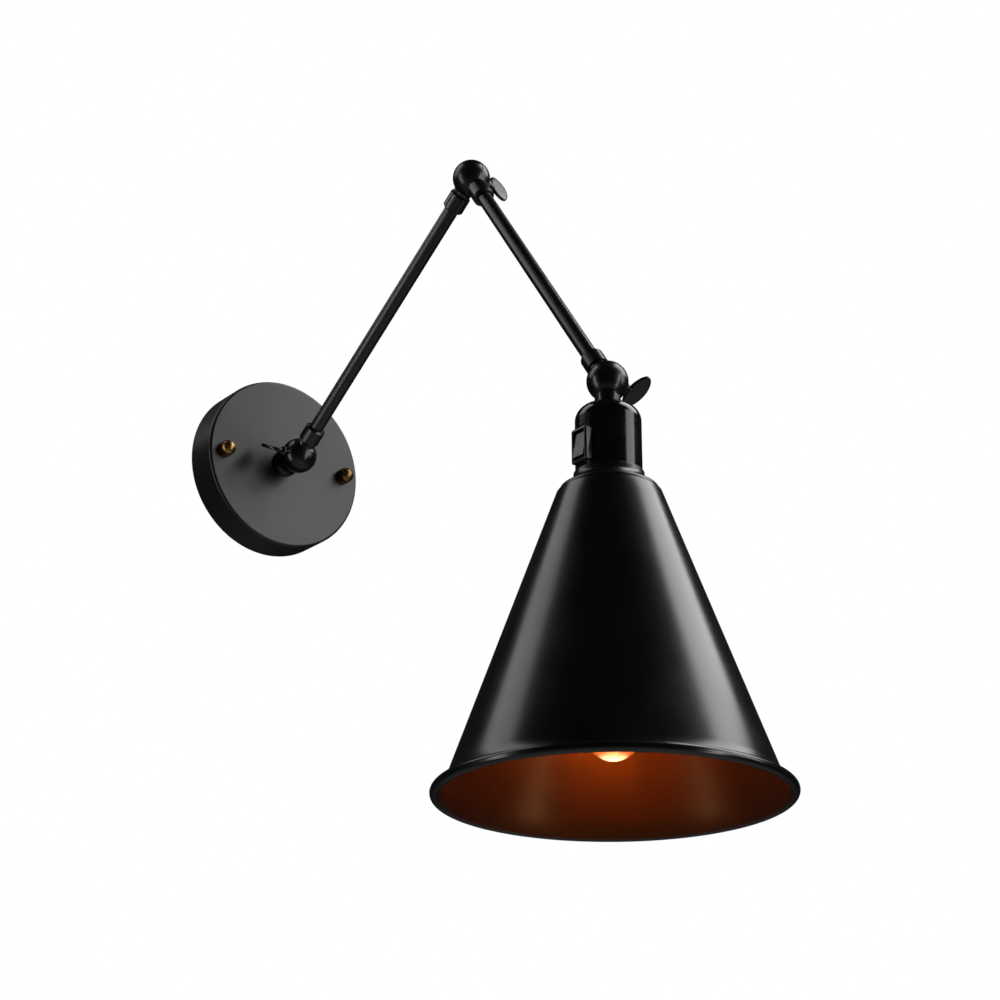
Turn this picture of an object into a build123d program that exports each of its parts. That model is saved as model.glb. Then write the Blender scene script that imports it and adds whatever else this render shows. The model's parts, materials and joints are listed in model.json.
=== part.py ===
from build123d import *

import os
from math import asin, cos, degrees, radians, sin

# Swing arm wall sconce, in millimetres. +Z is up and the wall is the plane Y = 0. The lamp stands
# out along -Y, and the origin is on the wall at the middle of the round canopy.
# The arms meet in split ball knuckles: the two halves of a ball turn about a wing screw that lies
# along X. A "reach" is a distance from a ball's centre along the link that leaves that ball.

# ---------------------------------------------------------------- driving dimensions
ARM_LENGTH = 212.0  # ball centre to ball centre, the same in both arms
LOWER_ARM_ELEVATION = 34.0  # degrees above the horizontal, at rest
UPPER_ARM_ELEVATION = -56.0
SLIP = 0.05  # clearance of a running fit, on the radius or between faces

# wall plate
CANOPY_RADIUS = 55.0
CANOPY_DEPTH = 22.0
CANOPY_WALL = 1.2
CANOPY_EDGE_ROUND = 1.8
CANOPY_NUT_RADIUS = 44.0  # from the canopy's middle to each brass nut
CANOPY_TURN = 3.0  # degrees that the pair of nuts is turned from level
BRACKET_THICKNESS = 2.0
BRACKET_WIDTH = 20.0
BRACKET_LENGTH = 102.0
BRACKET_BORE_RADIUS = 7.0
WALL_SCREW_CIRCLE = 70.0  # diameter of the circle that the two wall screws stand on
WALL_SCREW_HOLE_RADIUS = 2.3
STUD_RADIUS = 2.0
STUD_LENGTH = 28.0
NUT_RADIUS = 4.9
NUT_SKIRT = 3.4
NUT_EDGE = 0.5
GROUND_SCREW_PLACE = 20.0
GROUND_SCREW_RADIUS = 1.7
GROUND_HEAD_RADIUS = 3.6
GROUND_HEAD_HEIGHT = 2.2
GROUND_SLOT_WIDTH = 0.8

# stem through the canopy
BALL_STAND_OFF = 16.0  # canopy face to the first ball's centre
STEM_RADIUS = 6.4
STEM_FLANGE_RADIUS = 8.6
STEM_FLANGE_THICKNESS = 1.6
NIPPLE_RADIUS = 5.0
NIPPLE_BORE_RADIUS = 3.4
NIPPLE_START = 11.3
NIPPLE_END = 30.0
STEM_WASHER_RADIUS = 9.0
STEM_WASHER_THICKNESS = 1.0
LOCKNUT_RADIUS = 7.4
LOCKNUT_THICKNESS = 4.0

# ball knuckles
BALL_RADIUS = 11.0
NECK_CLEARANCE = 0.35  # a neck passes over the other half of its ball by this much
NECK_RADIUS = 5.5
NECK_REACH = 12.35
SPIGOT_RADIUS = 4.28
SPIGOT_REACH = 17.0
WIRE_WAY_RADIUS = 2.4
WIRE_WAY_START = 3.4

# arm collars and tubes
COLLAR_RADIUS = 6.35
COLLAR_BORE_RADIUS = 4.33
COLLAR_START = 12.4
COLLAR_END = 22.6
COLLAR_CHAMFER = 1.0
TUBE_RADIUS = 4.3
TUBE_BORE_RADIUS = 3.4
TUBE_START = 17.2
WIRE_RADIUS = 1.0
WIRE_SPACING = 2.4
WIRE_END = 20.0

# wing screws
SCREW_RADIUS = 2.0
SCREW_DEPTH = 8.0  # past the ball's middle, into the threaded half
SPOTFACE_OFFSET = 10.2
SPOTFACE_RADIUS = 4.3
WASHER_RADIUS = 3.8
WASHER_THICKNESS = 0.6
WING_BOSS_RADIUS = 3.1
WING_BOSS_TIP_RADIUS = 2.2
WING_BOSS_END = 16.5
WING_CENTRE = 20.0  # from the ball's centre, along the screw
WING_HALF_LENGTH = 11.0
WING_HALF_WIDTH = 5.6
WING_THICKNESS = 2.4
WING_EDGE_ROUND = 0.9

# lamp head, as reaches down from the last ball's centre
HEAD_NECK_RADIUS = 6.8
CUP_RADIUS = 17.2
CUP_WALL = 1.0
CUP_TOP = 14.6
CUP_BOTTOM = 52.0
CUP_SHOULDER = 8.5
HEAD_THREAD_END = 24.0
SWITCH_WIDTH = 11.8
SWITCH_TOP = 31.5
SWITCH_BOTTOM = 50.5
SWITCH_FACE = 20.3  # from the shade's axis to the bezel's face
SWITCH_BEZEL_WALL = 1.5
SWITCH_CORNER = 1.2
SWITCH_CHAMFER = 0.6
SWITCH_SADDLE = 3.0  # how far the bezel's skirt reaches round the cup
SWITCH_BACK = 6.0  # from the shade's axis to the back of the switch's box
SWITCH_BOX_DEPTH = 8.0
SWITCH_TAB_WIDTH = 4.5
SWITCH_TAB_THICKNESS = 0.8
SWITCH_TAB_LENGTH = 4.0
SWITCH_TAB_SPACING = 7.0
ROCKER_TRAVEL = 14.0  # degrees from one stop to the other
ROCKER_PIVOT = 17.2  # from the shade's axis
ROCKER_FACE = 20.9
ROCKER_SLIP = 0.35
ROCKER_BACK = 2.2  # behind the pivot, to the back of the rocker
ROCKER_HEEL = 0.6
ROCKER_TUCK = 1.0  # the rocker's ends stop short of its space, so that they clear as it tips
ROCKER_DIP = 1.1
FITTER_BOTTOM = 63.0
FITTER_RADIUS = 25.8
FITTER_RING_RADIUS = 18.2
FITTER_RING_BOTTOM = 54.6
FITTER_WALL = 1.2
FITTER_LIP = 2.0
HOLDER_RADIUS = 16.05
HOLDER_TOP = 50.0
HOLDER_BOTTOM = 83.0
HOLDER_FLOOR = 57.0
HOLDER_BORE_RADIUS = 13.95
SHELL_RADIUS = 13.9
SHELL_BORE_RADIUS = 13.4
SHELL_MARGIN = 1.0  # the screw shell stops short of the bore's floor and mouth
HOLDER_CHAMFER = 1.0
HOLDER_SCREW_SPACING = 16.0
HOLDER_SCREW_RADIUS = 1.6
TONGUE_WIDTH = 5.0
TONGUE_LENGTH = 16.0
TONGUE_THICKNESS = 0.5
TONGUE_PIP_RADIUS = 2.4
TONGUE_PIP_HEIGHT = 1.4
RING_RADIUS = 21.5
RING_THICKNESS = 5.0
RING_NOTCHES = 12
RING_NOTCH_RADIUS = 1.1
SHADE_TOP_RADIUS = 26.9
SHADE_BOTTOM_RADIUS = 83.1
SHADE_CONE_BOTTOM = 217.5
SHADE_WALL = 0.9
SHADE_TOP_ROUND = 0.7
BEAD_OVERLAP = 1.5  # how far the cone's flared end runs into the bead
BEAD_RADIUS = 2.6
BEAD_CIRCLE_RADIUS = 86.4
BEAD_REACH = 219.5

# bulb
CAP_RADIUS = 13.1
CAP_TOP = 60.0
CAP_BOTTOM = 85.0
CONTACT_RADIUS = 4.5
CAP_RIDGE = 0.45
CAP_PITCH = 3.6
CAP_TURNS = 5
CAP_SHOULDER = 2.2
GLASS_NECK_RADIUS = 12.6
GLASS_RADIUS = 32.0
GLASS_WIDEST = 152.0
GLASS_TIP = 202.5
GLASS_TIP_RADIUS = 14.0
GLASS_TIP_TURN = 62.0  # degrees of the tip's sphere, from the axis to the pear's side
GLASS_WALL = 0.8
GLASS_NECK_END = 98.0
FILAMENT_RADIUS = 0.35
FILAMENT_TOP = 118.0
FILAMENT_BOTTOM = 172.0
FILAMENT_TOP_CIRCLE = 6.0
FILAMENT_BOTTOM_CIRCLE = 10.0
FILAMENT_STRANDS = 8

# wings, as their long axis's elevation at rest, in degrees
WING_ELEVATIONS = (-27.0, -63.0, 26.0)

# ---------------------------------------------------------------- joints and directions
HINGE = Vector(1, 0, 0)
DOWN = Vector(0, 0, -1)
OUT = Vector(0, -1, 0)
TO_WALL = Vector(0, 1, 0)
WALL_CENTRE = Vector(0, 0, 0)
LEFT, RIGHT = -1, 1  # sides of a ball, along X
UNALIGNED = (Align.NONE, Align.NONE, Align.NONE)


def arm_direction(elevation):
    """The unit direction that leaves the wall and climbs at an elevation in degrees."""
    return Vector(0, -cos(radians(elevation)), sin(radians(elevation)))


LOWER_DIRECTION = arm_direction(LOWER_ARM_ELEVATION)
UPPER_DIRECTION = arm_direction(UPPER_ARM_ELEVATION)
WALL_BALL = OUT * (CANOPY_DEPTH + BALL_STAND_OFF)
ELBOW_BALL = WALL_BALL + LOWER_DIRECTION * ARM_LENGTH
SHADE_BALL = ELBOW_BALL + UPPER_DIRECTION * ARM_LENGTH


def link_plane(start, direction):
    """Where half a turned outline is drawn: X runs along the link and Y is the radius."""
    return Plane(origin=start, x_dir=direction, z_dir=HINGE)


def cross_plane(start, direction, reach=0.0):
    """Square across a link, at a reach from its start, with X along the hinge."""
    return Plane(origin=start + direction * reach, x_dir=HINGE, z_dir=direction)


def side_plane(ball, side, offset=0.0):
    """Parallel to the seam of a ball, facing out on one side of it."""
    return Plane(origin=ball + HINGE * (side * offset), x_dir=DOWN, z_dir=HINGE * side)


def save(piece, label):
    """Label a finished sub-part and write it."""
    piece.part.label = label
    export_step(piece.part, f"parts/{label}.step")


def make_sleeve(label, start, direction, first, last, inner, outer, chamfer_size=0.0):
    """A straight sleeve or rod along a link, with its outer end edge chamfered if asked."""
    with BuildPart() as sleeve:
        with BuildSketch(cross_plane(start, direction, first)):
            Circle(outer)
            if inner:
                Circle(inner, mode=Mode.SUBTRACT)
        extrude(amount=last - first)
        if chamfer_size:
            end_face = sleeve.faces().sort_by(Axis(start, direction))[-1]
            chamfer(end_face.edges().sort_by(SortBy.RADIUS)[-1], chamfer_size)
    save(sleeve, label)


# ---------------------------------------------------------------- wall plate
def turned_wall_plane():
    """On the wall, facing out, turned with the canopy's pair of nuts."""
    turn = radians(CANOPY_TURN)
    return Plane(origin=WALL_CENTRE, x_dir=Vector(cos(turn), 0, sin(turn)), z_dir=OUT)


def make_canopy():
    """Spun steel cover: a flat face, a small round edge and a straight side, open to the wall."""
    with BuildPart() as canopy:
        with BuildSketch(link_plane(WALL_CENTRE, OUT)):
            with BuildLine():
                Polyline(
                    (0, CANOPY_RADIUS),
                    (CANOPY_DEPTH, CANOPY_RADIUS),
                    (CANOPY_DEPTH, NIPPLE_RADIUS + SLIP),
                    (CANOPY_DEPTH - CANOPY_WALL, NIPPLE_RADIUS + SLIP),
                    (CANOPY_DEPTH - CANOPY_WALL, CANOPY_RADIUS - CANOPY_WALL),
                    (0, CANOPY_RADIUS - CANOPY_WALL),
                    close=True,
                )
            make_face()
        revolve(axis=Axis(WALL_CENTRE, OUT))
        edges = canopy.edges().filter_by(GeomType.CIRCLE)
        face_edges = edges.group_by(Axis.Y)[0]
        fillet(face_edges.sort_by(SortBy.RADIUS)[-1], CANOPY_EDGE_ROUND)
        with BuildSketch(turned_wall_plane()):
            with GridLocations(2 * CANOPY_NUT_RADIUS, 0, 2, 1):
                Circle(STUD_RADIUS + SLIP)
        extrude(amount=CANOPY_DEPTH + 1, mode=Mode.SUBTRACT)
    save(canopy, "canopy")


def make_mounting_bracket():
    """Flat steel strap behind the canopy, with wall screw holes, stud holes and a middle hole."""
    with BuildPart() as bracket:
        with BuildSketch(turned_wall_plane()):
            SlotOverall(BRACKET_LENGTH, BRACKET_WIDTH)
            Circle(BRACKET_BORE_RADIUS, mode=Mode.SUBTRACT)
            with GridLocations(WALL_SCREW_CIRCLE, 0, 2, 1):
                Circle(WALL_SCREW_HOLE_RADIUS, mode=Mode.SUBTRACT)
            with GridLocations(2 * CANOPY_NUT_RADIUS, 0, 2, 1):
                Circle(STUD_RADIUS, mode=Mode.SUBTRACT)
            with Locations((GROUND_SCREW_PLACE, 0)):
                Circle(GROUND_SCREW_RADIUS, mode=Mode.SUBTRACT)
        extrude(amount=BRACKET_THICKNESS)
    save(bracket, "mounting_bracket")


def make_canopy_studs():
    """Two studs that stand out of the bracket and through the canopy."""
    with BuildPart() as studs:
        with BuildSketch(turned_wall_plane()):
            with GridLocations(2 * CANOPY_NUT_RADIUS, 0, 2, 1):
                Circle(STUD_RADIUS)
        extrude(amount=STUD_LENGTH)
    save(studs, "canopy_studs")


def make_canopy_nuts():
    """Two blind brass nuts with round heads, which hold the canopy on its studs."""
    turned = turned_wall_plane()
    bore_depth = STUD_LENGTH - CANOPY_DEPTH
    with BuildPart() as nuts:
        for place in (-CANOPY_NUT_RADIUS, CANOPY_NUT_RADIUS):
            foot = turned.from_local_coords(Vector(place, 0, CANOPY_DEPTH))
            with BuildSketch(link_plane(foot, OUT)):
                with BuildLine():
                    CenterArc((NUT_SKIRT, 0), NUT_RADIUS, 0, 90)
                    Polyline(
                        (NUT_SKIRT + NUT_RADIUS, 0),
                        (bore_depth, 0),
                        (bore_depth, STUD_RADIUS),
                        (0, STUD_RADIUS),
                        (0, NUT_RADIUS - NUT_EDGE),
                        (NUT_EDGE, NUT_RADIUS),
                        (NUT_SKIRT, NUT_RADIUS),
                    )
                make_face()
            revolve(axis=Axis(foot, OUT))
    save(nuts, "canopy_nuts")


def make_ground_screw():
    """Pan head screw in the bracket for the earth wire."""
    head = turned_wall_plane().offset(BRACKET_THICKNESS)
    with BuildPart() as screw:
        with BuildSketch(turned_wall_plane()):
            with Locations((GROUND_SCREW_PLACE, 0)):
                Circle(GROUND_SCREW_RADIUS)
        extrude(amount=BRACKET_THICKNESS)
        with BuildSketch(head):
            with Locations((GROUND_SCREW_PLACE, 0)):
                Circle(GROUND_HEAD_RADIUS)
        extrude(amount=GROUND_HEAD_HEIGHT)
        fillet(screw.faces().sort_by(Axis.Y)[0].edges(), GROUND_HEAD_HEIGHT / 3)
        with BuildSketch(head.offset(GROUND_HEAD_HEIGHT)):
            with Locations((GROUND_SCREW_PLACE, 0)):
                Rectangle(GROUND_HEAD_RADIUS * 1.5, GROUND_SLOT_WIDTH)
                Rectangle(GROUND_SLOT_WIDTH, GROUND_HEAD_RADIUS * 1.5)
        extrude(amount=-GROUND_HEAD_HEIGHT / 2, mode=Mode.SUBTRACT)
    save(screw, "ground_screw")


# ---------------------------------------------------------------- ball knuckles
def half_ball_frame(ball, side, direction):
    """Z points out of the ball's side along the hinge, and X away from the link."""
    return Plane(origin=ball, x_dir=direction * -1, z_dir=HINGE * side)


def add_half_ball(ball, side, direction, screw_side):
    """Half of a ball, drilled for its wing screw: right through under the wing, blind opposite."""
    with Locations(half_ball_frame(ball, side, direction)):
        Sphere(BALL_RADIUS, arc_size1=degrees(asin(SLIP / BALL_RADIUS)), align=UNALIGNED)
    under_wing = side == screw_side
    depth = BALL_RADIUS if under_wing else SCREW_DEPTH
    with BuildSketch(side_plane(ball, side)) as screw_hole:
        Circle(SCREW_RADIUS + SLIP)
    extrude(screw_hole.sketch, amount=depth, mode=Mode.SUBTRACT)
    if under_wing:
        with BuildSketch(side_plane(ball, side, SPOTFACE_OFFSET)) as spotface:
            Circle(SPOTFACE_RADIUS)
        extrude(spotface.sketch, amount=BALL_RADIUS - SPOTFACE_OFFSET, mode=Mode.SUBTRACT)


def add_neck(ball, side, direction, radius, reach):
    """A round neck that leaves the ball and clears the other half, and the ball's screw."""
    with BuildPart(mode=Mode.PRIVATE) as neck:
        with BuildSketch(cross_plane(ball, direction, BALL_RADIUS / 2)):
            Circle(radius)
        extrude(amount=reach - BALL_RADIUS / 2)
        with Locations(half_ball_frame(ball, -side, direction)):
            Sphere(BALL_RADIUS + NECK_CLEARANCE, arc_size1=0, align=UNALIGNED, mode=Mode.SUBTRACT)
    add(neck.part)


def drill(ball, direction, radius, start, end):
    """A round hole along a link, between two reaches."""
    with BuildSketch(cross_plane(ball, direction, start)) as hole:
        Circle(radius)
    extrude(hole.sketch, amount=end - start, mode=Mode.SUBTRACT)


def make_arm_knuckle(label, ball, direction, side, screw_side):
    """Half a ball with the neck and spigot that carry an arm tube."""
    with BuildPart() as knuckle:
        add_half_ball(ball, side, direction, screw_side)
        add_neck(ball, side, direction, NECK_RADIUS, NECK_REACH)
        with BuildSketch(cross_plane(ball, direction, NECK_REACH)):
            Circle(SPIGOT_RADIUS)
        extrude(amount=SPIGOT_REACH - NECK_REACH)
        drill(ball, direction, WIRE_WAY_RADIUS, WIRE_WAY_START, SPIGOT_REACH)
    save(knuckle, label)


def make_wing_screw(number, ball, side, wing_direction):
    """A clamp screw with an oval wing, and the washer under it."""
    reach_axis = HINGE * side
    middle = ball + reach_axis * WING_CENTRE
    face = Plane(origin=middle, x_dir=wing_direction, z_dir=reach_axis.cross(wing_direction))
    with BuildPart() as screw:
        with BuildSketch(face):
            Ellipse(WING_HALF_LENGTH, WING_HALF_WIDTH)
        extrude(amount=WING_THICKNESS / 2, both=True)
        fillet(screw.edges().filter_by(GeomType.ELLIPSE), WING_EDGE_ROUND)
        foot = SPOTFACE_OFFSET + WASHER_THICKNESS + SLIP
        with BuildSketch(side_plane(ball, side, foot)):
            Circle(WING_BOSS_RADIUS)
        with BuildSketch(side_plane(ball, side, WING_BOSS_END)):
            Circle(WING_BOSS_TIP_RADIUS)
        loft()
        with BuildSketch(side_plane(ball, side, SLIP - SCREW_DEPTH)):
            Circle(SCREW_RADIUS)
        extrude(amount=SCREW_DEPTH + foot)
    save(screw, f"wing_screw_{number}")
    washer_start = ball + reach_axis * SPOTFACE_OFFSET
    with BuildPart() as washer:
        with BuildSketch(Plane(origin=washer_start, x_dir=DOWN, z_dir=reach_axis)):
            Circle(WASHER_RADIUS)
            Circle(SCREW_RADIUS + SLIP, mode=Mode.SUBTRACT)
        extrude(amount=WASHER_THICKNESS)
    save(washer, f"wing_washer_{number}")


# ---------------------------------------------------------------- stem
def make_stem_knuckle():
    """The first half ball, on a short post whose flange turns on the canopy's face."""
    with BuildPart() as stem:
        add_half_ball(WALL_BALL, RIGHT, TO_WALL, LEFT)
        add_neck(WALL_BALL, RIGHT, TO_WALL, STEM_RADIUS, BALL_STAND_OFF - SLIP)
        flange_start = BALL_STAND_OFF - STEM_FLANGE_THICKNESS
        with BuildSketch(cross_plane(WALL_BALL, TO_WALL, flange_start)):
            Circle(STEM_FLANGE_RADIUS)
        extrude(amount=STEM_FLANGE_THICKNESS - SLIP)
        drill(WALL_BALL, TO_WALL, WIRE_WAY_RADIUS, WIRE_WAY_START, BALL_STAND_OFF)
        drill(WALL_BALL, TO_WALL, NIPPLE_RADIUS, NIPPLE_START, BALL_STAND_OFF)
    save(stem, "stem_knuckle")


def make_hex_nut(label, ball, direction, start, bore):
    """A six-sided nut on a link's thread."""
    with BuildPart() as nut:
        with BuildSketch(cross_plane(ball, direction, start)):
            RegularPolygon(LOCKNUT_RADIUS, 6, major_radius=False)
            Circle(bore, mode=Mode.SUBTRACT)
        extrude(amount=LOCKNUT_THICKNESS)
    save(nut, label)


def make_stem():
    """The post's half ball, its threaded nipple, and the washer and nut inside the canopy."""
    make_stem_knuckle()
    make_sleeve(
        "stem_nipple", WALL_BALL, TO_WALL, NIPPLE_START, NIPPLE_END, NIPPLE_BORE_RADIUS, NIPPLE_RADIUS
    )
    washer_start = BALL_STAND_OFF + CANOPY_WALL + SLIP
    washer_end = washer_start + STEM_WASHER_THICKNESS
    make_sleeve(
        "stem_washer", WALL_BALL, TO_WALL, washer_start, washer_end, NIPPLE_RADIUS, STEM_WASHER_RADIUS
    )
    make_hex_nut("stem_locknut", WALL_BALL, TO_WALL, washer_end, NIPPLE_RADIUS)


# ---------------------------------------------------------------- arms
def make_arm(name, near_ball, far_ball, direction, sides, screw_sides):
    """One arm: a half ball and a collar at each end of a tube, with two wires inside it."""
    ends = (("inner", near_ball, direction), ("outer", far_ball, direction * -1))
    for (end, ball, away), side, screw_side in zip(ends, sides, screw_sides):
        make_arm_knuckle(f"{name}_arm_{end}_knuckle", ball, away, side, screw_side)
        make_sleeve(
            f"{name}_arm_{end}_collar",
            ball,
            away,
            COLLAR_START,
            COLLAR_END,
            COLLAR_BORE_RADIUS,
            COLLAR_RADIUS,
            COLLAR_CHAMFER,
        )
    tube_end = ARM_LENGTH - TUBE_START
    make_sleeve(
        f"{name}_arm_tube", near_ball, direction, TUBE_START, tube_end, TUBE_BORE_RADIUS, TUBE_RADIUS
    )
    with BuildPart() as wires:
        with BuildSketch(cross_plane(near_ball, direction, WIRE_END)):
            with GridLocations(WIRE_SPACING, 0, 2, 1):
                Circle(WIRE_RADIUS)
        extrude(amount=ARM_LENGTH - 2 * WIRE_END)
    save(wires, f"{name}_arm_wires")


# ---------------------------------------------------------------- lamp head
def make_head_knuckle():
    """The last half ball, with the neck and the thread that hold the socket cup."""
    with BuildPart() as knuckle:
        add_half_ball(SHADE_BALL, LEFT, DOWN, RIGHT)
        add_neck(SHADE_BALL, LEFT, DOWN, HEAD_NECK_RADIUS, CUP_TOP)
        with BuildSketch(cross_plane(SHADE_BALL, DOWN, CUP_TOP)):
            Circle(NIPPLE_RADIUS)
        extrude(amount=HEAD_THREAD_END - CUP_TOP)
        drill(SHADE_BALL, DOWN, WIRE_WAY_RADIUS, WIRE_WAY_START, HEAD_THREAD_END)
    save(knuckle, "head_knuckle")


def switch_plane(offset):
    """Facing out of the cup's left side, at a distance from the shade's axis; Y points up."""
    middle = SHADE_BALL + DOWN * ((SWITCH_TOP + SWITCH_BOTTOM) / 2) - HINGE * offset
    return Plane(origin=middle, x_dir=OUT, z_dir=HINGE * -1)


def switch_window():
    """The width and height of the window inside the bezel."""
    wall = 2 * SWITCH_BEZEL_WALL
    return SWITCH_WIDTH - wall, SWITCH_BOTTOM - SWITCH_TOP - wall


def make_socket_cup():
    """Drawn steel cup over the lampholder, with a round shoulder and a window for the switch."""
    with BuildPart() as cup:
        with BuildSketch(link_plane(SHADE_BALL, DOWN)):
            with BuildLine():
                Polyline(
                    (CUP_TOP, NIPPLE_RADIUS),
                    (CUP_TOP, CUP_RADIUS),
                    (CUP_BOTTOM, CUP_RADIUS),
                    (CUP_BOTTOM, CUP_RADIUS - CUP_WALL),
                    (CUP_TOP + CUP_WALL, CUP_RADIUS - CUP_WALL),
                    (CUP_TOP + CUP_WALL, NIPPLE_RADIUS),
                    close=True,
                )
            make_face()
        revolve(axis=Axis(SHADE_BALL, DOWN))
        rings = cup.edges().filter_by(GeomType.CIRCLE)
        top_ring = rings.group_by(Axis.Z)[-1].sort_by(SortBy.RADIUS)[-1]
        under_ring = rings.group_by(Axis.Z)[-2].sort_by(SortBy.RADIUS)[-1]
        fillet(top_ring, CUP_SHOULDER)
        fillet(under_ring, CUP_SHOULDER - CUP_WALL)
        with BuildSketch(switch_plane(CUP_RADIUS / 2)):
            Rectangle(*switch_window())
        extrude(amount=CUP_RADIUS, mode=Mode.SUBTRACT)
    save(cup, "socket_cup")


def make_switch_bezel():
    """The raised frame round the switch, saddled on the cup's side."""
    height = SWITCH_BOTTOM - SWITCH_TOP
    with BuildPart() as bezel:
        with BuildSketch(switch_plane(CUP_RADIUS - SWITCH_SADDLE)):
            RectangleRounded(SWITCH_WIDTH, height, SWITCH_CORNER)
        extrude(amount=SWITCH_FACE - CUP_RADIUS + SWITCH_SADDLE)
        front = bezel.faces().sort_by(Axis.X)[0]
        chamfer(front.edges(), SWITCH_CHAMFER)
        with BuildSketch(switch_plane(CUP_RADIUS - SWITCH_SADDLE)):
            Rectangle(*switch_window())
        extrude(amount=CUP_RADIUS, mode=Mode.SUBTRACT)
        with BuildSketch(cross_plane(SHADE_BALL, DOWN, SWITCH_TOP)):
            Circle(CUP_RADIUS)
        extrude(amount=height, mode=Mode.SUBTRACT)
    save(bezel, "switch_bezel")


def rocker_space():
    """The width and height of the rocker, inside the bezel's window."""
    width, height = switch_window()
    return width - 2 * ROCKER_SLIP, height - 2 * ROCKER_SLIP


def make_switch_housing():
    """The switch's box inside the cup, behind the rocker, with two tabs for its wires."""
    width, height = rocker_space()
    with BuildPart() as housing:
        with BuildSketch(switch_plane(SWITCH_BACK)):
            Rectangle(width, height)
        extrude(amount=SWITCH_BOX_DEPTH)
        with BuildSketch(switch_plane(SWITCH_BACK)):
            with GridLocations(0, SWITCH_TAB_SPACING, 1, 2):
                Rectangle(SWITCH_TAB_WIDTH, SWITCH_TAB_THICKNESS)
        extrude(amount=-SWITCH_TAB_LENGTH)
    save(housing, "switch_housing")


def make_rocker():
    """The switch's rocker: two flat faces in a shallow V. Its lower end stands out at rest."""
    width, height = rocker_space()
    half = height / 2
    tilt = radians(ROCKER_TRAVEL)
    middle = SHADE_BALL + DOWN * ((SWITCH_TOP + SWITCH_BOTTOM) / 2)
    outline = Plane(origin=middle, x_dir=HINGE * -1, z_dir=OUT * -1)
    with BuildPart() as rocker:
        with BuildSketch(outline):
            with BuildLine():
                Polyline(
                    (ROCKER_PIVOT - ROCKER_BACK, 0),
                    (ROCKER_PIVOT - ROCKER_HEEL, half - ROCKER_TUCK),
                    (ROCKER_FACE - half * sin(tilt), half - ROCKER_TUCK),
                    (ROCKER_FACE - ROCKER_DIP, 0),
                    (ROCKER_FACE, -half + ROCKER_TUCK),
                    (ROCKER_PIVOT - ROCKER_HEEL, -half + ROCKER_TUCK),
                    close=True,
                )
            make_face()
        extrude(amount=width / 2, both=True)
    save(rocker, "switch_rocker")


def make_lampholder():
    """The insulating holder that the bulb's cap screws into, closed at its top."""
    with BuildPart() as holder:
        with BuildSketch(link_plane(SHADE_BALL, DOWN)):
            with BuildLine():
                Polyline(
                    (HOLDER_TOP, 0),
                    (HOLDER_TOP, HOLDER_RADIUS),
                    (HOLDER_BOTTOM, HOLDER_RADIUS),
                    (HOLDER_BOTTOM, HOLDER_BORE_RADIUS),
                    (HOLDER_FLOOR, HOLDER_BORE_RADIUS),
                    (HOLDER_FLOOR, 0),
                    close=True,
                )
            make_face()
        revolve(axis=Axis(SHADE_BALL, DOWN))
        chamfer(holder.edges().group_by(Axis.Z)[-1], HOLDER_CHAMFER)
        with BuildSketch(cross_plane(SHADE_BALL, DOWN, HOLDER_TOP)):
            with GridLocations(0, HOLDER_SCREW_SPACING, 1, 2):
                Circle(HOLDER_SCREW_RADIUS)
        extrude(amount=HOLDER_FLOOR - HOLDER_TOP, mode=Mode.SUBTRACT)
    save(holder, "lampholder")


def make_centre_contact():
    """The springy brass tongue that meets the bulb's tip."""
    with BuildPart() as contact:
        with BuildSketch(cross_plane(SHADE_BALL, DOWN, HOLDER_FLOOR)):
            Rectangle(TONGUE_WIDTH, TONGUE_LENGTH)
        extrude(amount=TONGUE_THICKNESS)
        with BuildSketch(cross_plane(SHADE_BALL, DOWN, HOLDER_FLOOR + TONGUE_THICKNESS)):
            Circle(TONGUE_PIP_RADIUS)
        extrude(amount=TONGUE_PIP_HEIGHT)
    save(contact, "centre_contact")


def make_fitter():
    """Bell-shaped gallery under the cup: a ring, a hollow flare and a round shoulder."""
    top = CUP_BOTTOM + SLIP
    ring_corner = (FITTER_RING_BOTTOM, FITTER_RING_RADIUS)
    lip_corner = (FITTER_BOTTOM - 0.2, FITTER_RADIUS)
    with BuildPart() as fitter:
        with BuildSketch(link_plane(SHADE_BALL, DOWN)):
            with BuildLine():
                Polyline((top, HOLDER_RADIUS), (top, FITTER_RING_RADIUS), ring_corner)
                flare = TangentArc(
                    ring_corner,
                    (FITTER_BOTTOM - FITTER_LIP - 1.0, FITTER_RADIUS - 1.8),
                    tangent=(1, 0.25),
                )
                ThreePointArc(
                    flare @ 1,
                    (FITTER_BOTTOM - FITTER_LIP + 0.1, FITTER_RADIUS - 0.55),
                    lip_corner,
                )
                Polyline(
                    lip_corner,
                    (FITTER_BOTTOM, FITTER_RADIUS - 0.2),
                    (FITTER_BOTTOM, FITTER_RADIUS - FITTER_WALL),
                    (FITTER_RING_BOTTOM + FITTER_WALL, HOLDER_RADIUS),
                    (top, HOLDER_RADIUS),
                )
            make_face()
        revolve(axis=Axis(SHADE_BALL, DOWN))
    save(fitter, "fitter")


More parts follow.
